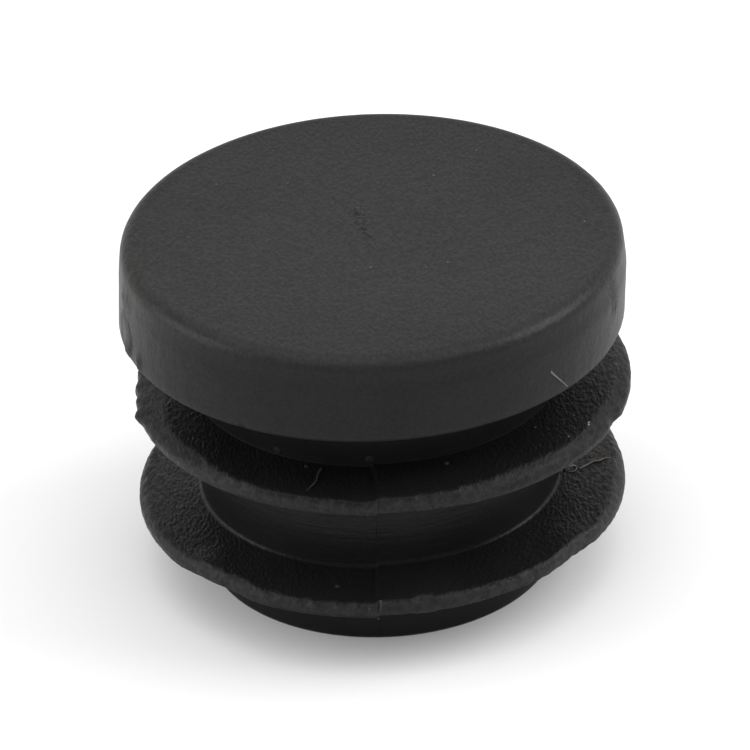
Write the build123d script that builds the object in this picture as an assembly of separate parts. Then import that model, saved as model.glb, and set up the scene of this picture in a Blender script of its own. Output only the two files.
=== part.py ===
"""Round insert cap: a one-piece moulded plug that closes the end of a round tube.

The head covers the tube's end, the stem goes inside it, and two thin fins round the stem
bend against the tube's wall and hold the cap in place. The stem is cored out from below.

Frame: +Z runs up the cap's axis to the outer face, and the origin is the centre of the
stem's tip, on which the loose cap stands. Lengths are in millimetres, angles in degrees.
"""
import os
from math import radians, tan

from build123d import *

# Head, which lies over the tube's end and is widest at its seat
head_diameter = 25.0
head_thickness = 4.5
head_draft = 2.5
head_edge_radius = 0.6

# Stem, which goes inside the tube and narrows towards its tip
stem_length = 13.6
stem_tip_diameter = 17.45
stem_draft = 3.0
tip_edge_bevel = 0.25

# Fins, placed by the middle of their thickness, measured down from the head's seat
upper_fin_depth = 3.67
fin_pitch = 6.0
upper_fin_diameter = 24.66
lower_fin_diameter = 24.34
fin_rim_thickness = 0.8
fin_draft = 2.5
fin_rim_bevel = 0.12
root_flare = 0.3

# Core, the hollow that opens at the tip and ends inside the head
tip_wall = 1.7
face_wall = 2.8
core_draft = 1.0
core_end_bevel = 0.8

# Places worked out from the sizes above
height = stem_length + head_thickness
face_radius = head_diameter / 2 - head_thickness * tan(radians(head_draft))
upper_fin_height = stem_length - upper_fin_depth
lower_fin_height = upper_fin_height - fin_pitch
core_depth = height - face_wall
mouth_radius = stem_tip_diameter / 2 - tip_wall


def stem_radius(z):
    """Outer radius of the stem at height z."""
    return stem_tip_diameter / 2 + z * tan(radians(stem_draft))


def core_radius(z):
    """Radius of the hollow at height z."""
    return mouth_radius - z * tan(radians(core_draft))


def half_section(*points):
    """Face on one side of the axis, from its corners as (radius, height)."""
    with BuildSketch() as face:
        with BuildLine():
            Polyline(*points, close=True)
        make_face()
    return face.sketch


def head():
    """Disc that covers the tube's end."""
    rim = head_diameter / 2
    return half_section((0, stem_length), (rim, stem_length), (face_radius, height), (0, height))


def stem():
    """Tapered plug from the tip up to the head."""
    seat_radius = stem_radius(stem_length)
    return half_section((0, 0), (stem_radius(0), 0), (seat_radius, stem_length), (0, stem_length))


def fin(diameter, middle):
    """Thin ring that is thinnest at its rim, with its root buried in the stem's wall."""
    rim = diameter / 2
    root = stem_radius(middle) - tip_wall / 2
    half_rim = fin_rim_thickness / 2
    half_root = half_rim + (rim - root) * tan(radians(fin_draft))
    return half_section(
        (root, middle - half_root),
        (rim, middle - half_rim),
        (rim, middle + half_rim),
        (root, middle + half_root),
    )


def core():
    """Blind hollow, narrower towards its end so that the cap leaves the mould."""
    end_radius = core_radius(core_depth)
    return half_section((0, 0), (mouth_radius, 0), (end_radius, core_depth), (0, core_depth))


def corners(section, chosen):
    """Corners of the section that the test picks by their radius and height."""
    return [corner for corner in section.vertices() if chosen(corner.X, corner.Y)]


def close(a, b):
    """True where two sizes are the same."""
    return abs(a - b) < 0.001


def insert_cap():
    """The whole cap, revolved from one half of its section."""
    fins = [(upper_fin_diameter, upper_fin_height), (lower_fin_diameter, lower_fin_height)]
    section = head() + stem()
    for diameter, middle in fins:
        section += fin(diameter, middle)
    section -= core()

    def at(radius, place):
        return corners(section, lambda r, z: close(r, radius) and close(z, place))

    def on_fin_rim(r, z):
        return any(close(r, diameter / 2) and abs(z - middle) < fin_rim_thickness for diameter, middle in fins)

    def at_root(r, z):
        return z > 0 and close(r, stem_radius(z))

    section = fillet(at(face_radius, height), head_edge_radius)
    section = chamfer(corners(section, on_fin_rim), fin_rim_bevel)
    section = chamfer(corners(section, at_root), root_flare)
    section = chamfer(at(stem_radius(0), 0), tip_edge_bevel)
    section = chamfer(at(core_radius(core_depth), core_depth), core_end_bevel)
    return revolve(Plane.XZ * section, axis=Axis.Z)


os.makedirs("parts", exist_ok=True)
export_step(insert_cap(), "parts/insert_cap.step")
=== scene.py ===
"""Looks of the round insert cap: one black moulding with a pebbled grain, worn fin rims,
a parting line, a gate mark, and the dust and lint that lie on it. Lengths are in metres.
"""
import math
import random
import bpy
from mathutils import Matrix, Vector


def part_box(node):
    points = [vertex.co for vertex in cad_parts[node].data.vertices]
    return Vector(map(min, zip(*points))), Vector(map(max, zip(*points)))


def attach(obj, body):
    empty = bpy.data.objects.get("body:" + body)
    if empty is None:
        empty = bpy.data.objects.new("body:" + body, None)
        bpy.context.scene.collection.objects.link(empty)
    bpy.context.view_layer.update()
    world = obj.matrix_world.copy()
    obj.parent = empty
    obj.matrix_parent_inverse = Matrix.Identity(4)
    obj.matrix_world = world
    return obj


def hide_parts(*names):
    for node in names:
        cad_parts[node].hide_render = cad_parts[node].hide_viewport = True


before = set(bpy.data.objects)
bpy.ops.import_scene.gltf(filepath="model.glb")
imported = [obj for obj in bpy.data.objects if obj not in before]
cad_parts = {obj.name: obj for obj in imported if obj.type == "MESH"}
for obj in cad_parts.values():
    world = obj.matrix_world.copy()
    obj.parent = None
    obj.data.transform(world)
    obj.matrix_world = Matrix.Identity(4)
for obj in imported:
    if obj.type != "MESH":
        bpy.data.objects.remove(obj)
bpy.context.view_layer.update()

from types import SimpleNamespace

import bmesh
import bpy
from mathutils import Matrix, Vector, noise
from mathutils.bvhtree import BVHTree

mm = 0.001
NODE = "insert_cap"
low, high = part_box(NODE)

# Sizes of the moulding; the height and the head's radius come from the frame
height = high.z
head_radius = high.x
head_thickness = 4.5 * mm
head_edge_inset = 0.17 * mm
head_shoulder_depth = 1.7 * mm
head_shoulder_round = 4.0 * mm
head_edge_round = 0.75 * mm
face_rise = 0.05 * mm
face_tip = 0.006
seat_edge_round = 0.24 * mm
stem_tip_radius = 8.725 * mm
stem_draft = math.radians(3.0)
tip_edge_round = 0.25 * mm
upper_fin_depth = 3.67 * mm
fin_pitch = 6.0 * mm
upper_fin_radius = 12.33 * mm
lower_fin_radius = 12.17 * mm
fin_rim_thickness = 0.8 * mm
fin_draft = math.radians(2.5)
fin_top_round = 0.24 * mm
fin_under_round = 0.26 * mm
upper_rim_droop = 0.15 * mm
neck_round = 0.05 * mm
root_round = 0.15 * mm
lower_root_round = 0.22 * mm
tip_wall = 1.7 * mm
face_wall = 2.8 * mm
core_draft = math.radians(1.0)
core_end_round = 0.8 * mm
core_mouth_round = 0.15 * mm

# Places worked out from the sizes
seat_height = height - head_thickness
face_radius = head_radius - head_edge_inset
upper_fin_height = seat_height - upper_fin_depth
lower_fin_height = upper_fin_height - fin_pitch
core_end = height - face_wall
mouth_radius = stem_tip_radius - tip_wall
face_height = height + face_rise

# How the two halves of the mould met: the left half's stem and fins sit lower and a little inside
parting_turn = math.radians(-2.0)
mould_step = 0.16 * mm
mould_inset = 0.025 * mm
head_shift = -0.12 * mm
upper_fin_shift = 0.28 * mm
lower_fin_shift = 0.05 * mm
tip_shift = -0.04 * mm
lower_fin_tilt = 0.08 / 12

# Mesh of the skin: steps round the axis, and the greatest steps along the outline, which are
# short where the wear needs a fine mesh
steps_round = 630
merge_distance = 0.0001 * mm
least_arc_steps = 3
arc_density = 4.5
face_step = 2.8 * mm
crown_step = 0.3 * mm
side_step = 0.4 * mm
seat_step = 1.0 * mm
stem_step = 0.6 * mm
fin_top_step = 0.6 * mm
fin_edge_step = 0.1 * mm
fin_rim_step = 0.11 * mm
fin_under_step = 0.9 * mm
core_step = 3.5 * mm
core_end_step = 2.5 * mm

# Where the finer steps begin, in from the face's edge and from a fin's rim
crown_inset = 1.1 * mm
fin_edge_band = 1.2 * mm

# Marks that the outline gives to the skin, for the plastic to read
skin_marks = ("grain", "wear", "streak", "ring", "dull", "seam", "shade", "crown", "bend")

# Camera, from the photo's view of the cap's circles
PICTURE = 750
camera_elevation = math.radians(31.04)
camera_roll = math.radians(2.27)
camera_distance = 375 * mm
aim_height = 8.75 * mm
aim_pixel = (377.56, 395.9)
pixels_per_metre = 20111.0
sensor_width = 36 * mm

# Where the wear, dust and lint lie, as pixels of the photo
gate_pixels = [(357, 211), (366, 235), (372, 255)]
gate_dot_pixel = (386, 267)
gate_crumbs = (8, 3)
clear_specks = [(216, 184), (447, 262), (584, 221)]
face_specks = [
    (426, 267), (370, 267), (276, 252), (433, 175), (476, 150), (354, 270), (188, 237), (287, 183),
]
dim_specks = [(306, 466), (534, 427), (446, 463), (337, 586)]
neck_lumps = [(277, 450), (369, 459)]
rim_specks = [(573, 415), (568, 436), (378, 618)]
bright_specks = [(588, 422), (588, 424)]
rim_flash = [(380, 600), (381, 605), (380, 611)]
small_flash = [(369, 607), (369, 612)]
head_fibre = [(550, 371), (555, 376), (561, 381), (567, 386)]
upper_fin_fibre = [(321, 468), (317, 474), (317, 480), (311, 487), (306, 490)]
lower_fin_loop = [(564, 468), (568, 465), (574, 465), (577, 468), (573, 472), (567, 471)]
lower_fin_fibre = [(578, 468), (587, 465), (593, 461), (599, 461), (604, 458), (610, 457)]

# How far in from its rim each fin's top edge is worn off, in mm, at azimuths in degrees from +X
upper_fin_wear = [
    (0, 0.7), (60, 0.5), (120, 0.5), (165, 0.9), (178, 1.7), (188, 1.6), (197, 1.1), (204, 0.85),
    (219, 0.8), (227, 0.4), (240, 0.15), (265, 0.12), (281, 0.25), (294, 0.55), (309, 0.6),
    (318, 0.5), (326, 0.55), (334, 0.75), (360, 0.7),
]
lower_fin_wear = [
    (0, 0.5), (20, 0.3), (160, 0.25), (188, 0.45), (202, 0.25), (214, 0.35), (233, 0.5), (249, 0.3),
    (265, 0.26), (278, 0.32), (286, 0.25), (295, 0.24), (303, 0.22), (312, 0.2), (332, 0.3),
    (352, 0.55), (360, 0.5),
]

# Shape of that wear: a bevel with teeth along its inner edge, which are longest in front
wear_slope = 0.75
greatest_wear_drop = 0.36 * mm
least_wear_width = 0.03 * mm
wear_reach_out = 0.3 * mm
wear_reach_in = 2.2 * mm
wear_reach_up = 1.2 * mm
tooth_size = 0.45 * mm
tooth_depth = 0.3 * mm
fine_tooth_size = 0.19 * mm
fine_tooth_depth = 0.2 * mm
side_teeth = 0.05
waviness = 0.12 * mm
dent_size = 0.5 * mm
dent_share = 0.15
scuff_band = 0.2 * mm
wear_noise_size = 0.45 * mm
wear_noise_height = 0.09 * mm
wear_seed = 4.0

# Knocks as (pixel, reach, push outwards, push upwards, ragged depth, scuff and painted highlight),
# with lengths in mm. On the head's far left and right edges that last share paints a pale highlight
knocks = [
    ((122, 324), 1.0, 0.0, 0.0, 0.02, 1.2),
    ((125, 332), 1.4, 0.0, 0.0, 0.02, 1.3),
    ((128, 338), 1.1, 0.0, 0.0, 0.02, 0.9),
    ((127, 345), 0.8, 0.13, 0.0, 0.04, 0.5),
    ((124, 298), 1.4, 0.06, 0.0, 0.03, 0.5),
    ((138, 363), 0.5, 0.12, 0.0, 0.05, 0.4),
    ((612, 285), 1.1, 0.0, 0.0, 0.02, 0.6),
    ((615, 305), 1.1, 0.0, 0.0, 0.02, 0.6),
    ((372, 443), 0.3, 0.0, 0.12, 0.0, 0.0),
    ((361, 503), 0.8, 0.0, -0.1, 0.0, 0.0),
    ((240, 424), 0.5, 0.0, 0.06, 0.05, 0.6),
    ((138, 376), 0.9, -0.16, 0.0, 0.05, 0.0),
    ((138, 390), 0.8, -0.16, 0.0, 0.06, 0.0),
    ((140, 400), 0.5, -0.04, 0.0, 0.08, 0.0),
    ((141, 414), 0.7, 0.28, 0.0, 0.06, 0.0),
    ((152, 436), 0.6, 0.05, 0.0, 0.06, 0.0),
    ((624, 390), 0.7, 0.05, 0.0, 0.09, 0.0),
    ((621, 403), 0.5, -0.06, 0.0, 0.08, 0.0),
    ((615, 417), 1.0, -0.24, 0.0, 0.06, 0.0),
    ((206, 574), 2.4, -0.12, 0.14, 0.03, 0.0),
    ((232, 592), 1.6, -0.10, 0.12, 0.03, 0.0),
    ((576, 548), 2.2, -0.16, 0.08, 0.03, 0.0),
]
ripple_size = 0.28 * mm
fine_ripple_size = 0.13 * mm
greatest_scuff_and_highlight = 3.0

# Flash along the parting line
flash_start = 0.02 * mm
flash_spacing = 0.14 * mm
flash_half_width = 0.05 * mm
flash_root = 0.04 * mm
least_flash = 0.008 * mm
flash_rise = 0.035 * mm
flash_sway = 0.02 * mm
flash_wave = 0.35 * mm
fine_flash_wave = 0.12 * mm
sway_wave = 0.5 * mm

# Lint: how high its middle and its ends lie, as shares of its radius, and how its width changes
lint_lift = 0.75
lint_end_lift = -0.2
lint_waist = 0.25
lint_wave = 2.4
lint_taper = 0.5

# Gate mark: crumbs, with their scatter and sizes in mm, round a torn line
crumb_scatter = (0.14, 0.08)
crumb_size = (0.04, 0.08)
gate_dot_size = 0.07 * mm
crumb_flatness = 0.55
crumb_roughness = 0.04 * mm
crumb_seed = 7
lump_seed = 2.0
gate_waviness = 0.5 * mm
gate_core = 0.12 * mm
gate_edge = 0.36 * mm

# Noise patterns of the plastic, as (waves to the mm, detail, share of that along x, y and z)
pebble_pattern = (6.2, 0.8, (1.0, 0.5, 1.0))
fine_pattern = (9.0, 2.0, (1.0, 0.5, 1.0))
streak_pattern = (1.0, 3.0, (3.0, 3.0, 0.3))
ring_pattern = (1.0, 2.0, (0.3, 0.3, 5.0))
cloud_pattern = (0.25, 4.0)
blotch_pattern = (2.4, 2.0)
patch_pattern = (0.9, 3.0)
gate_pattern = (3.0, 2.0)
pit_pattern = (5.0, 1.0)
pattern_roughness = 0.55
pebble_distortion = 0.3
dust_pattern = (1.3, 2.0)
scuff_and_highlight_raggedness = 0.8
crest_of_pebbles = 0.6
crest_of_fine = 0.4

# Relief of the plastic, as shares of the bump's depth
bump_depth = 0.1 * mm
pebble_relief = 0.52
fine_relief = 0.15
ring_relief = 0.15
torn_relief = 0.6
worn_blotch_relief = 0.3
worn_pebble_relief = 0.26

# Gloss of the plastic, its lower level under the head, on the neck and under the fins, which is
# painted shade, and the share of it that is left in painted shade and in the gate mark
plain_gloss = 0.2
painted_shade_gloss = 0.06
shade_gloss = 0.12
torn_gloss = 0.36
ring_smoothness = 0.07
dull_roughness = 0.12

# How one quantity follows another, as (from, to, result there, result at the end)
depth_by_patch = (0.3, 0.7, 0.75, 1.25)
depth_by_wear = (0.0, 1.0, 1.0, 0.35)
streak_by_patch = (0.4, 0.65, 0.03, 0.16)
worn_by_scuff_and_highlight = (0.25, 0.75, 0.0, 1.0)
bruised_by_scuff = (1.0, 2.5, 0.0, 1.0)
pits_by_pattern = (0.44, 0.6, 0.0, 1.0)
tone_by_cloud = (0.3, 0.75, 0.0, 1.0)
tone_by_blotch = (0.35, 0.65, 0.0, 1.0)
gloss_by_crest = (0.35, 0.65, 0.0, 2.0)
crest_by_grain = (0.1, 1.0, 0.1, 0.5)
crest_by_wear = (0.0, 1.0, 1.0, 0.7)
gloss_by_grain = (0.5, 1.0, 1.02, 0.79)
gloss_by_blotch = (0.3, 0.7, 0.82, 1.12)
roughness_by_fine = (0.3, 0.7, 0.37, 0.43)

# How the gloss, the tint and the gate mark change over the cap, in the same way, over mm to the
# back, to the right, upwards, or aside from the middle. The changes of gloss paint light and shade:
# the head's edge brighter in front, the stem and neck brighter in front and in painted shade at
# their sides and on the left, the grained faces in painted shade in front and on the far left, the
# worn rims in painted shade towards the right but for the lower rim there, the head's side in
# painted shade towards its ends, and the lower root's painted highlight dim in front. The tint is a
# warm painted sheen on the reflections at the far sides
crown_gloss_back = (-4.0, 5.0, 1.25, 0.7)
ring_gloss_aside = (3.0, 8.5, 1.09, 0.62)
ring_gloss_right = (-9.0, -5.0, 0.72, 1.0)
grain_gloss_back = (-11.0, -6.0, 0.5, 1.0)
grain_gloss_right = (-11.0, -7.0, 0.88, 1.0)
worn_gloss_right = (-12.0, 5.0, 0.85, 0.6)
lower_rim_gloss_up = (6.0, 8.0, 0.4, 0.0)
lower_rim_gloss_right = (2.0, 7.0, 0.0, 1.0)
streak_gloss_aside = (6.0, 11.5, 1.03, 0.86)
painted_root_highlight_gloss_aside = (4.5, 8.5, 0.25, 1.3)
tint_aside = (9.5, 12.4, 0.0, 1.0)
gate_width_back = (-1.0, 2.0, 0.7, 1.25)
gate_strength_back = (-2.0, 0.2, 0.3, 1.0)

# Tones, as linear colours
white = (1, 1, 1, 1)
# warm tint painted on the reflections at the far sides: a painted sheen
edge_tint = (1, 0.95, 0.89, 1)
clean_tones = (0.006, 0.006, 0.0062, 1), (0.0085, 0.0084, 0.0082, 1)
worn_and_highlight_tones = (0.0095, 0.0095, 0.0095, 1), (0.0155, 0.0155, 0.0154, 1)
# pale tone painted as the highlight on the head's far left edge
painted_highlight_tone = (0.075, 0.07, 0.065, 1)
floor_tone = (0.64, 0.64, 0.64, 1)

# Pale and dark tones of the dust and lint
clear_dust = (0.1, 0.1, 0.095, 1), (0.07, 0.07, 0.07, 1)
face_dust = (0.08, 0.08, 0.075, 1), (0.06, 0.06, 0.06, 1)
dim_dust = (0.019, 0.019, 0.018, 1), (0.012, 0.012, 0.012, 1)
neck_dust = (0.009, 0.009, 0.009, 1), (0.006, 0.006, 0.006, 1)
rim_dust = (0.08, 0.078, 0.074, 1), (0.04, 0.04, 0.04, 1)
bright_dust = (0.3, 0.29, 0.23, 1), (0.2, 0.19, 0.16, 1)
pale_lint = (0.12, 0.12, 0.12, 1), (0.09, 0.09, 0.09, 1)
grey_lint = (0.035, 0.035, 0.035, 1), (0.02, 0.02, 0.02, 1)
tan_lint = (0.14, 0.115, 0.095, 1), (0.08, 0.068, 0.056, 1)

# Studio: lamps as (name, azimuth, elevation, distance, size, power), then the surround and floor
lamps = [
    ("overhead_box", 0, 86, 0.6, 0.9, 3.08),
    ("left_box", -88, 20, 0.6, 0.4, 1.45),
    ("right_box", 91, 36, 0.6, 0.36, 1.9),
]
surround_light = 0.95
floor_glow = 0.1
floor_half = 1.5


def stem_radius(z):
    """Outer radius of the stem at height z."""
    return stem_tip_radius + z * math.tan(stem_draft)


def core_radius(z):
    """Radius of the hollow at height z."""
    return mouth_radius - z * math.tan(core_draft)


def fin_face_height(rim, middle, side, radius):
    """Height of a fin's upper (side 1) or lower (side -1) face at a radius."""
    return middle + side * (fin_rim_thickness / 2 + (rim - radius) * math.tan(fin_draft))


def fin_root(rim, middle, side):
    """Corner where a fin's upper or lower face meets the stem."""
    z = fin_face_height(rim, middle, side, stem_radius(middle))
    return stem_radius(z), z


def outline_corners():
    """Corners of half the section from the middle of the face, down the outside and up the core.

    Each is (radius, height, rounding, greatest step on the way to it, lie, surface). The lie says
    how the mould displaced the corner: its share of the step between the halves, its shift and
    tilt to the right, and its tip to the back. It also says how the rounding looks: how much it
    carries a painted highlight, lies in painted shade, or is the crown of the head. The surface is
    that of the stretch that leads to the corner: its shares of the grain, the wear, the streaks,
    the rings, and the dullness with its painted shade.
    """
    true = dict(step=0.0, shift=0.0, tilt=0.0, tip=0.0, seam=0.0, shade=0.0, crown=0.0)
    tipped = dict(true, tip=face_tip)
    seat_edge = dict(true, shift=head_shift, shade=0.5)
    stem = dict(true, step=1.0)
    plain = dict(grain=0.0, wear=0.0, streak=0.0, ring=0.0, dull=0.0)
    face = dict(plain, grain=0.45)
    side = dict(plain, grain=0.2, wear=0.3, streak=1.0)
    seat = dict(plain, grain=0.1, dull=1.0)
    smooth = dict(plain, grain=0.16, ring=1.0)
    neck = dict(smooth, dull=0.5)
    top = dict(plain, grain=1.0)
    worn_top = dict(plain, grain=1.0, wear=0.25)
    rim_wall = dict(plain, grain=0.35, wear=1.0)
    under = dict(plain, grain=1.0, wear=0.1, dull=1.0)
    core = dict(plain, grain=0.05)
    corners = [
        (0.0, face_height, 0.0, 0.0, tipped, face),
        (face_radius - crown_inset, face_height, 0.0, face_step, dict(tipped, crown=0.45), face),
        (face_radius, face_height, head_edge_round, crown_step, dict(tipped, crown=1.0), face),
        (head_radius, height - head_shoulder_depth, head_shoulder_round, side_step, true, side),
        (head_radius, seat_height, seat_edge_round, side_step, seat_edge, side),
        (stem_radius(seat_height), seat_height, root_round, seat_step, dict(stem, step=1.25), seat),
    ]
    fins = [
        (upper_fin_radius, upper_fin_height, upper_fin_shift, 0.0, upper_rim_droop,
         neck_round, neck, dict(shade=0.8)),
        (lower_fin_radius, lower_fin_height, lower_fin_shift, lower_fin_tilt, 0.0,
         lower_root_round, smooth, dict(seam=1.0)),
    ]
    half_rim = fin_rim_thickness / 2
    for rim, middle, shift, tilt, droop, top_root_round, wall, root in fins:
        fin = dict(stem, shift=shift, tilt=tilt)
        fin_rim = dict(fin, shade=0.45)
        fin_stem = dict(stem, tilt=tilt)
        band = rim - fin_edge_band
        corners += [
            (*fin_root(rim, middle, 1), top_root_round, stem_step, {**fin_stem, **root}, wall),
            (band, fin_face_height(rim, middle, 1, band), 0.0, fin_top_step, fin, top),
            (rim, middle + half_rim, fin_top_round, fin_edge_step, fin, worn_top),
            (rim, middle - half_rim - droop, fin_under_round, fin_rim_step, fin_rim, rim_wall),
            (*fin_root(rim, middle, -1), root_round, fin_under_step, fin_stem, under),
        ]
    corners += [
        (stem_tip_radius, 0.0, tip_edge_round, stem_step, dict(true, shift=tip_shift), smooth),
        (mouth_radius, 0.0, core_mouth_round, seat_step, true, core),
        (core_radius(core_end), core_end, core_end_round, core_step, true, core),
        (0.0, core_end, 0.0, core_end_step, true, core),
    ]
    return corners


def blended(a, b, share):
    """Marks that lie between a and b."""
    return {name: a[name] + (b[name] - a[name]) * share for name in a}


def rounded_outline(corners):
    """Points of the outline with each corner rounded by an arc, with the marks that each point has."""
    points = [(Vector(corners[0][:2]), {**corners[0][4], **corners[0][5], "bend": 0.0})]
    for k in range(1, len(corners)):
        here = Vector(corners[k][:2])
        before = Vector(corners[k - 1][:2])
        rounding, step, lie, surface = corners[k][2:]
        lie_before = corners[k - 1][4]
        arc = [here]
        beyond = surface
        if rounding:
            after = Vector(corners[k + 1][:2])
            beyond = corners[k + 1][5]
            into = (before - here).normalized()
            out = (after - here).normalized()
            half = into.angle(out) / 2
            back = rounding / math.tan(half)
            centre = here + (into + out).normalized() * rounding / math.sin(half)
            first = here + into * back - centre
            turn = (here + out * back - centre).angle_signed(first)
            count = max(least_arc_steps, round(abs(turn) * arc_density * (rounding / mm) ** 0.3))
            arc = [centre + Matrix.Rotation(turn * n / count, 2) @ first for n in range(count + 1)]
        last = points[-1][0]
        count = max(1, math.ceil((arc[0] - last).length / step))
        for n in range(1, count):
            marks = {**blended(lie_before, lie, n / count), **surface, "bend": 0.0}
            points.append((last.lerp(arc[0], n / count), marks))
        for n, point in enumerate(arc):
            bend = float(0 < n < len(arc) - 1)
            points.append((point, {**lie, **blended(surface, beyond, n / len(arc)), "bend": bend}))
    return points


def outline_mesh(points):
    """The outline as a row of loose points in the XZ plane, with its marks as attributes."""
    mesh = bpy.data.meshes.new("cap_outline")
    mesh.from_pydata([(p.x, 0.0, p.y) for p, marks in points], [], [])
    for name in points[0][1]:
        layer = mesh.attributes.new(name, "FLOAT", "POINT")
        layer.data.foreach_set("value", [marks[name] for p, marks in points])
    return mesh


class Tree:
    """Adds and joins the nodes of one node tree.

    A value is a number or another node's output, and each short method gives back an output.
    """

    def __init__(self, tree):
        self.tree = tree

    def add(self, kind, inputs=(), **settings):
        node = self.tree.nodes.new(kind)
        for key, value in settings.items():
            setattr(node, key, value)
        for key, value in dict(inputs).items():
            socket = node.inputs[key]
            if isinstance(value, bpy.types.NodeSocket):
                self.tree.links.new(value, socket)
            else:
                socket.default_value = value
        return node

    def maths(self, operation, a, b=0.0, clamp=False):
        return self.add("ShaderNodeMath", {0: a, 1: b}, operation=operation, use_clamp=clamp).outputs[0]

    def plus(self, first, *others):
        for other in others:
            first = self.maths("ADD", first, other)
        return first

    def minus(self, a, b, clamp=False):
        return self.maths("SUBTRACT", a, b, clamp=clamp)

    def times(self, first, *others):
        for other in others:
            first = self.maths("MULTIPLY", first, other)
        return first

    def over(self, a, b, clamp=False):
        return self.maths("DIVIDE", a, b, clamp=clamp)

    def vector(self, operation, a, b=(0.0, 0.0, 0.0)):
        return self.add("ShaderNodeVectorMath", {0: a, 1: b}, operation=operation).outputs["Vector"]

    def value(self, operation, a, b=(0.0, 0.0, 0.0)):
        return self.add("ShaderNodeVectorMath", {0: a, 1: b}, operation=operation).outputs["Value"]

    def scaled(self, vector, factor):
        inputs = {0: vector, "Scale": factor}
        return self.add("ShaderNodeVectorMath", inputs, operation="SCALE").outputs["Vector"]

    def joined(self, x, y, z):
        return self.add("ShaderNodeCombineXYZ", {"X": x, "Y": y, "Z": z}).outputs[0]

    def ramp(self, value, low_in, high_in, low_out, high_out):
        """Goes from the low to the high output as the value goes from the low to the high input."""
        ranges = {"From Min": low_in, "From Max": high_in, "To Min": low_out, "To Max": high_out}
        return self.add("ShaderNodeMapRange", {"Value": value, **ranges}).outputs[0]

    def toned(self, level, share, factor):
        """The level as it is where the share is 0, and times the factor where the share is 1."""
        mix = self.add("ShaderNodeMix", {"Factor": share, "A": 1.0, "B": factor})
        return self.times(level, mix.outputs["Result"])

    def mixed(self, share, first, second):
        """Colour that goes from the first to the second."""
        inputs = {"Factor": share, "A": first, "B": second}
        return self.add("ShaderNodeMix", inputs, data_type="RGBA").outputs["Result"]

    def named(self, name, data_type="FLOAT"):
        """A named attribute, in a geometry node tree."""
        node = self.add("GeometryNodeInputNamedAttribute", {"Name": name}, data_type=data_type)
        return node.outputs["Attribute"]

    def position(self):
        """The position, in a geometry node tree."""
        return self.add("GeometryNodeInputPosition").outputs[0]


def skin_tree(material):
    """Geometry nodes that turn the outline round the axis, offset its left half and roughen its wear."""
    group = bpy.data.node_groups.new("turned_moulding", "GeometryNodeTree")
    face = group.interface
    face.new_socket("Outline", in_out="INPUT", socket_type="NodeSocketGeometry")
    face.new_socket("Steps Round", in_out="INPUT", socket_type="NodeSocketInt")
    moulding = ("Parting Turn", "Mould Step", "Mould Inset", "Merge Distance")
    for name in (*moulding, "Wear Height", "Wear Size", "Seed"):
        face.new_socket(name, in_out="INPUT", socket_type="NodeSocketFloat")
    face.new_socket("Moulding", in_out="OUTPUT", socket_type="NodeSocketGeometry")
    t = Tree(group)
    given = t.add("NodeGroupInput").outputs
    counted = t.add("GeometryNodeAttributeDomainSize", {"Geometry": given["Outline"]}, component="MESH")
    rows = counted.outputs["Point Count"]
    columns = t.plus(given["Steps Round"], 1.0)
    grid = t.add("GeometryNodeMeshGrid", {"Vertices X": columns, "Vertices Y": rows})
    index = t.add("GeometryNodeInputIndex").outputs[0]
    column = t.maths("FLOOR", t.over(t.plus(index, 0.5), rows))
    row = t.minus(index, t.times(column, rows))

    def sampled(data_type, value):
        node = t.add("GeometryNodeSampleIndex", data_type=data_type, domain="POINT")
        group.links.new(given["Outline"], node.inputs["Geometry"])
        group.links.new(row, node.inputs["Index"])
        group.links.new(value, node.inputs["Value"])
        return node.outputs["Value"]

    def mark(name):
        return sampled("FLOAT", t.named(name))

    place = t.add("ShaderNodeSeparateXYZ", {0: sampled("FLOAT_VECTOR", t.position())}).outputs
    turn = t.over(t.times(t.plus(column, 0.5), math.tau), given["Steps Round"])
    left = t.times(t.maths("LESS_THAN", t.maths("COSINE", turn), 0.0), mark("step"))
    radius = t.minus(place["X"], t.times(left, given["Mould Inset"]))
    angle = t.plus(turn, given["Parting Turn"])
    across = t.times(radius, t.maths("COSINE", angle))
    along = t.times(radius, t.maths("SINE", angle))
    sunk = t.minus(place["Z"], t.times(left, given["Mould Step"]))
    raised = t.plus(sunk, t.times(across, mark("tilt")), t.times(along, mark("tip")))
    turned = t.joined(t.plus(across, mark("shift")), along, raised)
    placing = {"Geometry": grid.outputs["Mesh"], "Position": turned}
    shape = t.add("GeometryNodeSetPosition", placing).outputs[0]
    for name in skin_marks:
        storing = {"Geometry": shape, "Name": name}
        stored = t.add("GeometryNodeStoreNamedAttribute", storing, data_type="FLOAT")
        group.links.new(mark(name), stored.inputs["Value"])
        shape = stored.outputs[0]
    merging = {"Geometry": shape, "Distance": given["Merge Distance"]}
    shape = t.add("GeometryNodeMergeByDistance", merging).outputs[0]

    seen = t.scaled(t.position(), t.over(1.0, given["Wear Size"]))
    inputs = {"Vector": seen, "W": given["Seed"], "Scale": 1.0, "Detail": 2.5}
    wave = t.add("ShaderNodeTexNoise", inputs, noise_dimensions="4D").outputs["Fac"]
    depth = t.times(t.minus(wave, 0.5), t.times(t.named("wear"), given["Wear Height"]))
    worn = t.scaled(t.add("GeometryNodeInputNormal").outputs[0], t.times(depth, -1.0))
    shape = t.add("GeometryNodeSetPosition", {"Geometry": shape, "Offset": worn}).outputs[0]
    shape = t.add("GeometryNodeFlipFaces", {"Mesh": shape}).outputs[0]
    shape = t.add("GeometryNodeSetShadeSmooth", {"Geometry": shape}).outputs[0]
    shape = t.add("GeometryNodeRealizeInstances", {"Geometry": shape}).outputs[0]
    shape = t.add("GeometryNodeSetMaterial", {"Geometry": shape, "Material": material}).outputs[0]
    t.add("NodeGroupOutput", {"Moulding": shape})
    return group


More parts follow.
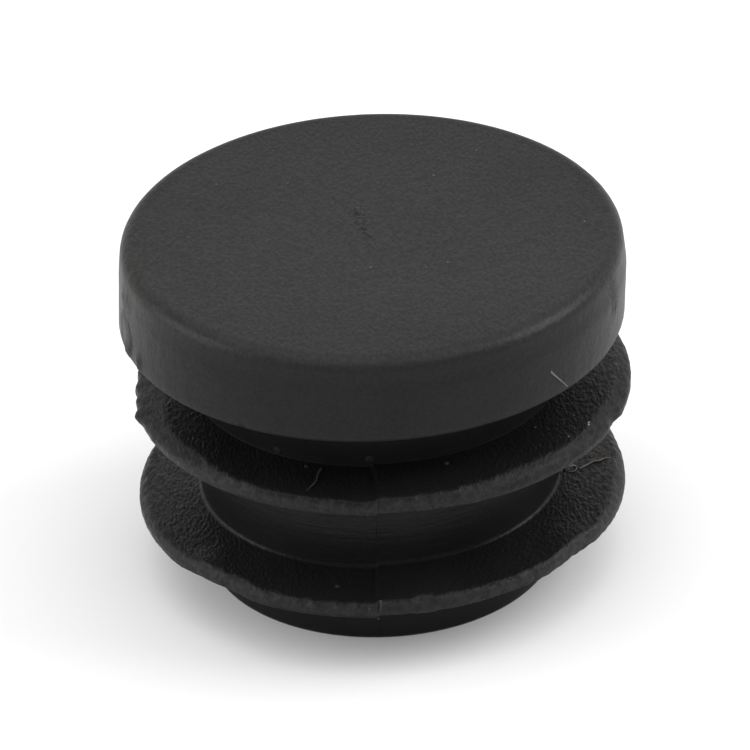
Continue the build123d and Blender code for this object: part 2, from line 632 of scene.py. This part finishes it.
def with_tree(obj, group, sizes):
    """Runs a geometry node tree on the object with its named sizes set."""
    modifier = obj.modifiers.new(group.name, "NODES")
    modifier.node_group = group
    for socket in group.interface.items_tree:
        if socket.name in sizes:
            modifier[socket.identifier] = sizes[socket.name]


def plain_mesh(obj, name):
    """The object as it is after its modifiers, as a new plain object; the old one is removed."""
    graph = bpy.context.evaluated_depsgraph_get()
    mesh = bpy.data.meshes.new_from_object(obj.evaluated_get(graph))
    mesh.name = name
    bpy.data.objects.remove(obj)
    return linked(name, mesh)


def linked(name, mesh):
    """A new object at the origin that holds the mesh."""
    obj = bpy.data.objects.new(name, mesh)
    bpy.context.scene.collection.objects.link(obj)
    return obj


def make_skin(material, outline):
    """The whole moulding as one closed mesh."""
    source = linked("cap_outline", outline_mesh(outline))
    with_tree(source, skin_tree(material), {
        "Steps Round": steps_round,
        "Parting Turn": parting_turn,
        "Mould Step": mould_step,
        "Mould Inset": mould_inset,
        "Wear Height": wear_noise_height,
        "Wear Size": wear_noise_size,
        "Merge Distance": merge_distance,
        "Seed": wear_seed,
    })
    return plain_mesh(source, "cap_skin")


def worn_width(profile, azimuth):
    """Width of the worn edge at an azimuth in degrees, between the places where it is given."""
    for (a, first), (b, second) in zip(profile, profile[1:]):
        if azimuth <= b:
            return (first + (second - first) * (azimuth - a) / (b - a)) * mm
    return profile[-1][1] * mm


def wave_at(place, size):
    """Smooth random number between -1 and 1 that changes over the size."""
    return noise.noise(place / size)


def wear_fin(mesh, radius, middle, shift, profile):
    """Wears the fin's top edge down into a bevel, which is most ragged in front."""
    scuff = mesh.attributes["scuff"].data
    rim_low = middle - fin_rim_thickness / 2 - mould_step
    for vertex in mesh.vertices:
        x, y, z = vertex.co
        inset = radius - math.hypot(x - shift, y)
        if not -wear_reach_out < inset < wear_reach_in or not rim_low < z < rim_low + wear_reach_up:
            continue
        angle = math.atan2(y, x - shift)
        edge = Vector((math.cos(angle) * radius, math.sin(angle) * radius, middle))
        teeth = wave_at(edge, tooth_size) * tooth_depth + wave_at(edge, fine_tooth_size) * fine_tooth_depth
        teeth *= side_teeth + (1 - side_teeth) * math.sin(angle) ** 4
        teeth += wave_at(vertex.co, tooth_size) * waviness
        width = max(least_wear_width, worn_width(profile, math.degrees(angle) % 360) + teeth)
        share = 1 - max(0.0, inset) / width
        if share <= 0:
            continue
        drop = min(greatest_wear_drop, wear_slope * width)
        above = min(1.0, max(0.0, (z - rim_low) / fin_rim_thickness))
        dents = 1 + wave_at(vertex.co, dent_size) * dent_share
        vertex.co.z -= drop * share * above * dents
        scuff[vertex.index].value = min(1.0, share * width / scuff_band) * above


def knock(mesh, spots, hit):
    """Local bumps, nicks and ragged places, each pushed outwards and upwards round a pixel of the photo,
    with a scuff that on the head's far edges is a painted highlight.
    """
    scuff = mesh.attributes["scuff"].data
    for pixel, reach, outward, upward, ragged, scuffed_and_lit in spots:
        centre = hit(pixel)[0]
        radial = Vector((centre.x, centre.y, 0)).normalized()
        push = radial * outward + Vector((0, 0, upward))
        for vertex in mesh.vertices:
            gap = (vertex.co - centre).length / (reach * mm)
            if gap < 1:
                share = (1 - gap ** 2) ** 2
                ripple = wave_at(vertex.co, ripple_size) + 0.5 * wave_at(vertex.co, fine_ripple_size)
                vertex.co += (push + radial * ragged * ripple) * share * mm
                scuff_and_highlight_sum = scuff[vertex.index].value + scuffed_and_lit * share
                scuff[vertex.index].value = min(greatest_scuff_and_highlight, scuff_and_highlight_sum)


def point_on(outline_point, angle, share=0.5):
    """Where a point of the outline lies after it is turned, with a share of the mould step."""
    place, marks = outline_point
    step = marks["step"] * share
    radius = place.x - step * mould_inset
    x = radius * math.cos(angle)
    y = radius * math.sin(angle)
    z = place.y - step * mould_step + marks["tilt"] * x + marks["tip"] * y
    return Vector((x + marks["shift"], y, z))


def flash_mesh(name, outline, material):
    """Thin ragged ridges of flash up the front and back, where the halves of the mould met."""
    first = next(k for k, (p, marks) in enumerate(outline) if p.y < seat_height - flash_start)
    last = next(k for k, (p, marks) in enumerate(outline) if p.y < tip_edge_round)
    vertices = []
    faces = []
    for angle in (math.pi * 1.5 + parting_turn, math.pi * 0.5 + parting_turn):
        tangent = Vector((-math.sin(angle), math.cos(angle), 0))
        half = tangent * flash_half_width
        start = len(vertices)
        for k in range(first, last):
            a, b = point_on(outline[k], angle), point_on(outline[k + 1], angle)
            flat = outline[k + 1][0] - outline[k][0]
            out = Vector((-flat.y * math.cos(angle), -flat.y * math.sin(angle), flat.x)).normalized()
            pieces = max(1, round((b - a).length / flash_spacing))
            for n in range(pieces):
                foot = a.lerp(b, n / pieces)
                ragged = 0.5 + wave_at(foot, flash_wave) + 0.5 * wave_at(foot, fine_flash_wave)
                crest = foot + tangent * wave_at(foot, sway_wave) * flash_sway
                crest += out * (least_flash + flash_rise * max(0.0, ragged))
                root = foot - out * flash_root
                vertices += [root - half, crest, root + half]
        count = (len(vertices) - start) // 3
        for k in range(count - 1):
            for side in range(3):
                one, two = start + 3 * k + side, start + 3 * k + (side + 1) % 3
                faces.append((one + 3, two + 3, two, one))
        faces.append((start, start + 1, start + 2))
        faces.append((start + 3 * count - 1, start + 3 * count - 2, start + 3 * count - 3))
    mesh = bpy.data.meshes.new(name)
    mesh.from_pydata(vertices, [], faces)
    mesh.materials.append(material)
    return mesh


def lump_tree(material):
    """Geometry nodes that put a small irregular lump on each point."""
    group = bpy.data.node_groups.new("lumps", "GeometryNodeTree")
    face = group.interface
    face.new_socket("Points", in_out="INPUT", socket_type="NodeSocketGeometry")
    for name in ("Flatness", "Roughness", "Noise Size", "Seed"):
        face.new_socket(name, in_out="INPUT", socket_type="NodeSocketFloat")
    face.new_socket("Lumps", in_out="OUTPUT", socket_type="NodeSocketGeometry")
    t = Tree(group)
    given = t.add("NodeGroupInput").outputs
    ball = t.add("GeometryNodeMeshIcoSphere", {"Radius": 1.0, "Subdivisions": 2}).outputs["Mesh"]
    flattened = t.vector("MULTIPLY", t.position(), t.joined(1.0, 1.0, given["Flatness"]))
    ball = t.add("GeometryNodeSetPosition", {"Geometry": ball, "Position": flattened}).outputs[0]
    facing = {"Vector": t.named("facing", "FLOAT_VECTOR")}
    turn = t.add("FunctionNodeAlignRotationToVector", facing, axis="Z").outputs[0]
    lumps = t.add("GeometryNodeInstanceOnPoints", {
        "Points": given["Points"], "Instance": ball, "Rotation": turn, "Scale": t.named("size"),
    }).outputs[0]
    lumps = t.add("GeometryNodeRealizeInstances", {"Geometry": lumps}).outputs[0]
    seen = t.scaled(t.position(), t.over(1.0, given["Noise Size"]))
    inputs = {"Vector": seen, "W": given["Seed"], "Scale": 1.0}
    wave = t.add("ShaderNodeTexNoise", inputs, noise_dimensions="4D").outputs["Color"]
    offset = t.scaled(t.vector("SUBTRACT", wave, (0.5, 0.5, 0.5)), given["Roughness"])
    lumps = t.add("GeometryNodeSetPosition", {"Geometry": lumps, "Offset": offset}).outputs[0]
    lumps = t.add("GeometryNodeSetShadeSmooth", {"Geometry": lumps}).outputs[0]
    lumps = t.add("GeometryNodeSetMaterial", {"Geometry": lumps, "Material": material}).outputs[0]
    t.add("NodeGroupOutput", {"Lumps": lumps})
    return group


def make_lumps(name, spots, material, flatness=0.7, roughness=0.06 * mm, noise_size=0.06 * mm):
    """Small lumps joined in one piece, from (place, facing, size) of each."""
    mesh = bpy.data.meshes.new(name)
    mesh.from_pydata([place for place, facing, size in spots], [], [])
    facings = mesh.attributes.new("facing", "FLOAT_VECTOR", "POINT")
    facings.data.foreach_set("vector", [number for place, facing, size in spots for number in facing])
    sizes = mesh.attributes.new("size", "FLOAT", "POINT")
    sizes.data.foreach_set("value", [size for place, facing, size in spots])
    source = linked(name + "_points", mesh)
    with_tree(source, lump_tree(material), {
        "Flatness": flatness,
        "Roughness": roughness,
        "Noise Size": noise_size,
        "Seed": lump_seed,
    })
    return plain_mesh(source, name)


def make_lint(name, pixels, radius, hit, material):
    """One fine fibre that lies on the skin along the photo's pixels."""
    route = []
    for k, pixel in enumerate(pixels):
        place, facing = hit(pixel)
        lift = lint_lift if 0 < k < len(pixels) - 1 else lint_end_lift
        route.append(place + facing * radius * lift)
    curve = bpy.data.curves.new(name, "CURVE")
    curve.dimensions = "3D"
    curve.bevel_depth = radius
    curve.bevel_resolution = 2
    curve.resolution_u = 6
    curve.use_fill_caps = True
    line = curve.splines.new("NURBS")
    line.points.add(len(route) - 1)
    for k, place in enumerate(route):
        line.points[k].co = (*place, 1)
        waist = 1 - lint_waist + lint_waist * math.cos(lint_wave * k)
        line.points[k].radius = waist * (1 - lint_taper * k / len(route))
    line.order_u = 3
    line.use_endpoint_u = True
    curve.materials.append(material)
    fibre = plain_mesh(linked(name + "_curve", curve), name)
    skin = bmesh.new()
    skin.from_mesh(fibre.data)
    bmesh.ops.remove_doubles(skin, verts=skin.verts, dist=merge_distance)
    skin.to_mesh(fibre.data)
    skin.free()
    return fibre


def new_material(name):
    """An empty material and the helper for its node tree."""
    material = bpy.data.materials.new(name)
    material.use_nodes = True
    material.node_tree.nodes.clear()
    return material, Tree(material.node_tree)


def gate_distance(t, spot, places):
    """Distance to the gate mark's line, which runs through the places."""
    nearest = None
    for a, b in zip(places, places[1:]):
        along = b - a
        away = t.vector("SUBTRACT", spot, a)
        share = t.over(t.value("DOT_PRODUCT", away, along), along.length_squared, clamp=True)
        gap = t.value("LENGTH", t.vector("SUBTRACT", away, t.scaled(t.joined(*along), share)))
        nearest = gap if nearest is None else t.maths("MINIMUM", nearest, gap)
    return nearest


def plastic_fields(t, gate_places):
    """What the plastic follows: its mesh's marks, its place, its patterns and the gate mark."""
    f = SimpleNamespace()
    for name in (*skin_marks, "scuff"):
        setattr(f, name, t.add("ShaderNodeAttribute", attribute_name=name).outputs["Fac"])
    spot = t.add("ShaderNodeTexCoord").outputs["Object"]
    spot_mm = t.scaled(spot, 1 / mm)
    place = t.add("ShaderNodeSeparateXYZ", {0: spot_mm}).outputs
    f.right, f.back, f.up = place["X"], place["Y"], place["Z"]
    f.aside = t.maths("ABSOLUTE", f.right)

    def pattern(scale, detail, stretch=(1.0, 1.0, 1.0), distortion=0.0):
        return t.add("ShaderNodeTexNoise", {
            "Vector": t.vector("MULTIPLY", spot_mm, stretch),
            "Scale": scale,
            "Detail": detail,
            "Roughness": pattern_roughness,
            "Distortion": distortion,
        }).outputs["Fac"]

    f.pebbles = pattern(*pebble_pattern, distortion=pebble_distortion)
    f.fine = pattern(*fine_pattern)
    f.streaks = pattern(*streak_pattern)
    f.rings = pattern(*ring_pattern)
    f.cloud = pattern(*cloud_pattern)
    f.blotches = pattern(*blotch_pattern)
    f.patches = pattern(*patch_pattern)
    # the scuff mark is real scuffing on the fins' rims; on the head's far edges it paints a highlight, so
    # there the worn tone and the palest tone are painted highlight
    ragged_scuff_and_highlight = t.plus(f.scuff, t.times(t.minus(f.fine, 0.5), scuff_and_highlight_raggedness))
    f.worn = t.ramp(ragged_scuff_and_highlight, *worn_by_scuff_and_highlight)
    f.bruised = t.ramp(f.scuff, *bruised_by_scuff)
    f.clean = t.minus(f.grain, f.worn, clamp=True)

    ragged = t.times(t.minus(pattern(*gate_pattern), 0.5), gate_waviness)
    gap = t.plus(gate_distance(t, spot, gate_places), ragged)
    gap = t.over(gap, t.ramp(f.back, *gate_width_back))
    f.torn = t.times(t.ramp(gap, gate_core, gate_edge, 1.0, 0.0), t.ramp(f.back, *gate_strength_back))
    f.pits = t.ramp(pattern(*pit_pattern), *pits_by_pattern)
    return f


def plastic_relief(t, f):
    """Height of the grain, the streaks, the turned rings and the worn edges."""
    depth = t.times(f.grain, t.ramp(f.patches, *depth_by_patch), t.ramp(f.worn, *depth_by_wear))
    depth = t.plus(depth, t.times(f.torn, torn_relief))
    worn = t.plus(t.times(f.blotches, worn_blotch_relief), t.times(f.pebbles, worn_pebble_relief))
    streaked = t.times(f.streak, t.ramp(f.patches, *streak_by_patch))
    return t.plus(
        t.times(f.pebbles, depth, pebble_relief),
        t.times(worn, f.worn),
        t.times(f.fine, fine_relief, depth),
        t.times(f.streaks, streaked),
        t.times(f.rings, f.ring, ring_relief),
    )


def plastic_tone(t, f):
    """Colour: near-black, greyer where it is worn and where the head's far edges carry a painted highlight,
    and palest in the brightest painted highlight there.
    """
    clean = t.mixed(t.ramp(f.cloud, *tone_by_cloud), *clean_tones)
    worn = t.mixed(t.ramp(f.blotches, *tone_by_blotch), *worn_and_highlight_tones)
    return t.mixed(f.bruised, t.mixed(f.worn, clean, worn), painted_highlight_tone)


def plastic_gloss(t, f):
    """Specular level: broken up by the grain, and changed over the cap to paint light and shade."""
    # lower level under the head, on the neck and under the fins: painted shade
    level = t.ramp(f.dull, 0.0, 1.0, plain_gloss, painted_shade_gloss)
    # painted shade in the grain's hollows and painted highlight on its crests
    crests = t.plus(t.times(f.pebbles, crest_of_pebbles), t.times(f.fine, crest_of_fine))
    crest_share = t.times(t.ramp(f.grain, *crest_by_grain), t.ramp(f.worn, *crest_by_wear))
    level = t.toned(level, crest_share, t.ramp(crests, *gloss_by_crest))
    grained = t.maths("MAXIMUM", f.ring, t.minus(f.grain, f.worn))
    level = t.times(level, t.ramp(grained, *gloss_by_grain))
    level = t.times(level, t.ramp(t.times(f.blotches, f.wear), *gloss_by_blotch))
    # from here the level changes by place: painted light and painted shade
    level = t.toned(level, f.crown, t.ramp(f.back, *crown_gloss_back))
    ring = t.times(t.ramp(f.aside, *ring_gloss_aside), t.ramp(f.right, *ring_gloss_right))
    level = t.toned(level, f.ring, ring)
    grain = t.times(t.ramp(f.back, *grain_gloss_back), t.ramp(f.right, *grain_gloss_right))
    level = t.toned(level, f.clean, grain)
    lower_rim = t.times(t.ramp(f.up, *lower_rim_gloss_up), t.ramp(f.right, *lower_rim_gloss_right))
    level = t.toned(level, f.worn, t.plus(t.ramp(f.right, *worn_gloss_right), lower_rim))
    level = t.toned(level, f.streak, t.ramp(f.aside, *streak_gloss_aside))
    # painted highlight on the lower fin's root: dim in front, bright at the sides
    level = t.toned(level, t.times(f.seam, f.bend), t.ramp(f.aside, *painted_root_highlight_gloss_aside))
    level = t.toned(level, t.times(f.shade, f.bend), shade_gloss)
    return t.toned(level, t.times(f.torn, f.pits), torn_gloss)


def plastic(gate_places):
    """Black polyethylene: near-black and matt, pebbled by the spark-eroded mould, deepest on the fins."""
    material, t = new_material("black_moulded_plastic")
    f = plastic_fields(t, gate_places)
    relief = {"Height": plastic_relief(t, f), "Strength": 1.0, "Distance": bump_depth}
    bump = t.add("ShaderNodeBump", relief)
    rough = t.minus(t.ramp(f.fine, *roughness_by_fine), t.times(f.ring, ring_smoothness))
    rough = t.plus(rough, t.times(t.maths("MAXIMUM", f.worn, f.dull), dull_roughness))
    shader = t.add("ShaderNodeBsdfPrincipled", {
        "Base Color": plastic_tone(t, f),
        "Roughness": rough,
        "Normal": bump.outputs[0],
        "Specular IOR Level": plastic_gloss(t, f),
        "Specular Tint": t.mixed(t.ramp(f.aside, *tint_aside), white, edge_tint),
        "IOR": 1.5,
    })
    t.add("ShaderNodeOutputMaterial", {"Surface": shader.outputs[0]})
    return material


def dusty(name, pale, dark):
    """Dull dust or lint whose tone varies from grain to grain."""
    material, t = new_material(name)
    spot_mm = t.scaled(t.add("ShaderNodeTexCoord").outputs["Object"], 1 / mm)
    inputs = {"Vector": spot_mm, "Scale": dust_pattern[0], "Detail": dust_pattern[1]}
    cloud = t.add("ShaderNodeTexNoise", inputs).outputs["Fac"]
    tone = t.mixed(t.ramp(cloud, *tone_by_blotch), dark, pale)
    dull = {"Base Color": tone, "Roughness": 0.8, "Specular IOR Level": 0.2}
    shader = t.add("ShaderNodeBsdfPrincipled", dull)
    t.add("ShaderNodeOutputMaterial", {"Surface": shader.outputs[0]})
    return material


def make_floor():
    """Pale plain floor: white to the camera and in reflections, and it keeps the cap's soft shadow."""
    mesh = bpy.data.meshes.new("floor")
    corners = [(x * floor_half, y * floor_half, 0) for x, y in ((-1, -1), (1, -1), (1, 1), (-1, 1))]
    mesh.from_pydata(corners, [], [(0, 1, 2, 3)])
    floor = linked("floor", mesh)
    material, t = new_material("white_floor")
    diffuse = t.add("ShaderNodeBsdfDiffuse", {"Color": floor_tone})
    glow = t.add("ShaderNodeEmission", {"Color": white, "Strength": floor_glow})
    lit = t.add("ShaderNodeAddShader", {0: diffuse.outputs[0], 1: glow.outputs[0]})
    mixed = t.add("ShaderNodeMixShader", {0: seen_directly(t), 1: diffuse.outputs[0], 2: lit.outputs[0]})
    clear = t.add("ShaderNodeBsdfTransparent")
    below = t.add("ShaderNodeNewGeometry").outputs["Backfacing"]
    both = t.add("ShaderNodeMixShader", {0: below, 1: mixed.outputs[0], 2: clear.outputs[0]})
    t.add("ShaderNodeOutputMaterial", {"Surface": both.outputs[0]})
    mesh.materials.append(material)


def seen_directly(t):
    """1 for what the camera, a reflection or glass sees, and 0 for soft light."""
    ray = t.add("ShaderNodeLightPath").outputs
    seen = t.maths("MAXIMUM", ray["Is Camera Ray"], ray["Is Glossy Ray"])
    return t.maths("MAXIMUM", seen, ray["Is Transmission Ray"])


def make_world():
    """Even studio surround: white behind the cap, softer as light."""
    world = bpy.data.worlds.new("studio")
    bpy.context.scene.world = world
    world.use_nodes = True
    world.node_tree.nodes.clear()
    t = Tree(world.node_tree)
    soft = t.add("ShaderNodeBackground", {"Color": white, "Strength": surround_light})
    seen = t.add("ShaderNodeBackground", {"Color": white, "Strength": 1.0})
    both = t.add("ShaderNodeMixShader", {0: seen_directly(t), 1: soft.outputs[0], 2: seen.outputs[0]})
    t.add("ShaderNodeOutputWorld", {"Surface": both.outputs[0]})


def make_lamp(name, azimuth, elevation, distance, size, power):
    """Square soft box that faces the cap; azimuth 0 is in front and 90 to the right."""
    a, e = math.radians(azimuth), math.radians(elevation)
    away = Vector((math.sin(a) * math.cos(e), -math.cos(a) * math.cos(e), math.sin(e)))
    data = bpy.data.lights.new(name, "AREA")
    data.size = size
    data.energy = power
    lamp = bpy.data.objects.new(name, data)
    bpy.context.scene.collection.objects.link(lamp)
    lamp.location = Vector((0, 0, aim_height)) + away * distance
    lamp.rotation_mode = "QUATERNION"
    lamp.rotation_quaternion = (-away).to_track_quat("-Z", "Y")


def camera_axes():
    """The camera's right, up and back directions."""
    right = Vector((1, 0, 0))
    up = Vector((0, math.sin(camera_elevation), math.cos(camera_elevation)))
    back = Vector((0, -math.cos(camera_elevation), math.sin(camera_elevation)))
    c, s = math.cos(camera_roll), math.sin(camera_roll)
    return right * c - up * s, right * s + up * c, back


def make_camera():
    """Long lens at the photo's angle, aimed so that the cap sits where it does in the photo."""
    right, up, back = camera_axes()
    target = Vector((0, 0, aim_height))
    place = target + back * camera_distance
    aim = target - right * (aim_pixel[0] - PICTURE / 2) / pixels_per_metre
    aim += up * (aim_pixel[1] - PICTURE / 2) / pixels_per_metre
    back = (place - aim).normalized()
    right = up.cross(back).normalized()
    up = back.cross(right)
    data = bpy.data.cameras.new("camera")
    data.sensor_width = sensor_width * 1000
    data.lens = sensor_width * 1000 * camera_distance * pixels_per_metre / PICTURE
    data.clip_start, data.clip_end = 0.01, 10.0
    camera = bpy.data.objects.new("camera", data)
    bpy.context.scene.collection.objects.link(camera)
    turn = Matrix((right, up, back)).transposed()
    camera.matrix_world = Matrix.Translation(place) @ turn.to_4x4()
    bpy.context.scene.camera = camera
    return place, turn, data.lens / data.sensor_width


def pixel_ray(camera, pixel):
    """Start and direction of the line of sight through a pixel of the photo."""
    place, turn, reach = camera
    x = (pixel[0] + 0.5) / PICTURE - 0.5
    y = 0.5 - (pixel[1] + 0.5) / PICTURE
    return place, (turn @ Vector((x, y, -reach))).normalized()


def on_face(camera, pixel):
    """Where a pixel's line of sight meets the head's flat face."""
    start, direction = pixel_ray(camera, pixel)
    return start + direction * (height - start.z) / direction.z


camera = make_camera()
make_world()
for lamp in lamps:
    make_lamp(*lamp)
make_floor()

outline = rounded_outline(outline_corners())
black = plastic([on_face(camera, pixel) for pixel in gate_pixels])
skin = make_skin(black, outline)
skin.data.attributes.new("scuff", "FLOAT", "POINT")
wear_fin(skin.data, upper_fin_radius, upper_fin_height, upper_fin_shift, upper_fin_wear)
wear_fin(skin.data, lower_fin_radius, lower_fin_height, lower_fin_shift, lower_fin_wear)
tree = BVHTree.FromPolygons([v.co for v in skin.data.vertices], [p.vertices for p in skin.data.polygons])


def hit(pixel):
    """Where a pixel's line of sight meets the skin, and the way that the skin faces there."""
    place, facing, face, distance = tree.ray_cast(*pixel_ray(camera, pixel))
    return place, facing


def specks_at(name, pixels, least, most, tones, **shape):
    """Dust specks of a size in mm between least and most, at the photo's pixels."""
    spots = [(*hit(pixel), random.uniform(least, most) * mm) for pixel in pixels]
    return make_lumps(name, spots, dusty(name + "_dust", *tones), **shape)


knock(skin.data, knocks, hit)
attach(skin, "root")
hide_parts(NODE)

flash = linked("parting_flash", flash_mesh("parting_flash", outline, black))

random.seed(crumb_seed)
upwards = Vector((0, 0, 1))
crumbs = []
for a, b, count in zip(gate_pixels, gate_pixels[1:], gate_crumbs):
    for k in range(count):
        share = (k + random.random()) / count
        place = on_face(camera, a).lerp(on_face(camera, b), share)
        place += Vector((*(random.gauss(0, scatter) for scatter in crumb_scatter), 0)) * mm
        crumbs.append((place, upwards, random.uniform(*crumb_size) * mm))
crumbs.append((on_face(camera, gate_dot_pixel), upwards, gate_dot_size))
scar = make_lumps("gate_scar", crumbs, black, flatness=crumb_flatness, roughness=crumb_roughness)

soft_lump = dict(flatness=0.25, roughness=0.1 * mm, noise_size=0.2 * mm)
dust = [
    specks_at("clear_specks", clear_specks, 0.055, 0.065, clear_dust),
    specks_at("face_specks", face_specks, 0.045, 0.06, face_dust),
    specks_at("dim_specks", dim_specks, 0.1, 0.13, dim_dust),
    specks_at("neck_lumps", neck_lumps, 0.2, 0.24, neck_dust, **soft_lump),
    specks_at("rim_specks", rim_specks, 0.05, 0.085, rim_dust),
    specks_at("bright_speck", bright_specks, 0.06, 0.07, bright_dust),
]

pale = dusty("pale_lint", *pale_lint)
grey = dusty("grey_lint", *grey_lint)
tan = dusty("tan_lint", *tan_lint)
lint = [
    make_lint("head_fibre", head_fibre, 0.07 * mm, hit, pale),
    make_lint("upper_fin_fibre", upper_fin_fibre, 0.08 * mm, hit, grey),
    make_lint("lower_fin_loop", lower_fin_loop, 0.05 * mm, hit, pale),
    make_lint("rim_flash", rim_flash, 0.07 * mm, hit, grey),
    make_lint("small_flash", small_flash, 0.07 * mm, hit, grey),
    make_lint("lower_fin_fibre", lower_fin_fibre, 0.065 * mm, hit, tan),
]

for piece in (flash, scar, *dust, *lint):
    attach(piece, "root")

bpy.context.scene.view_settings.view_transform = "Standard"
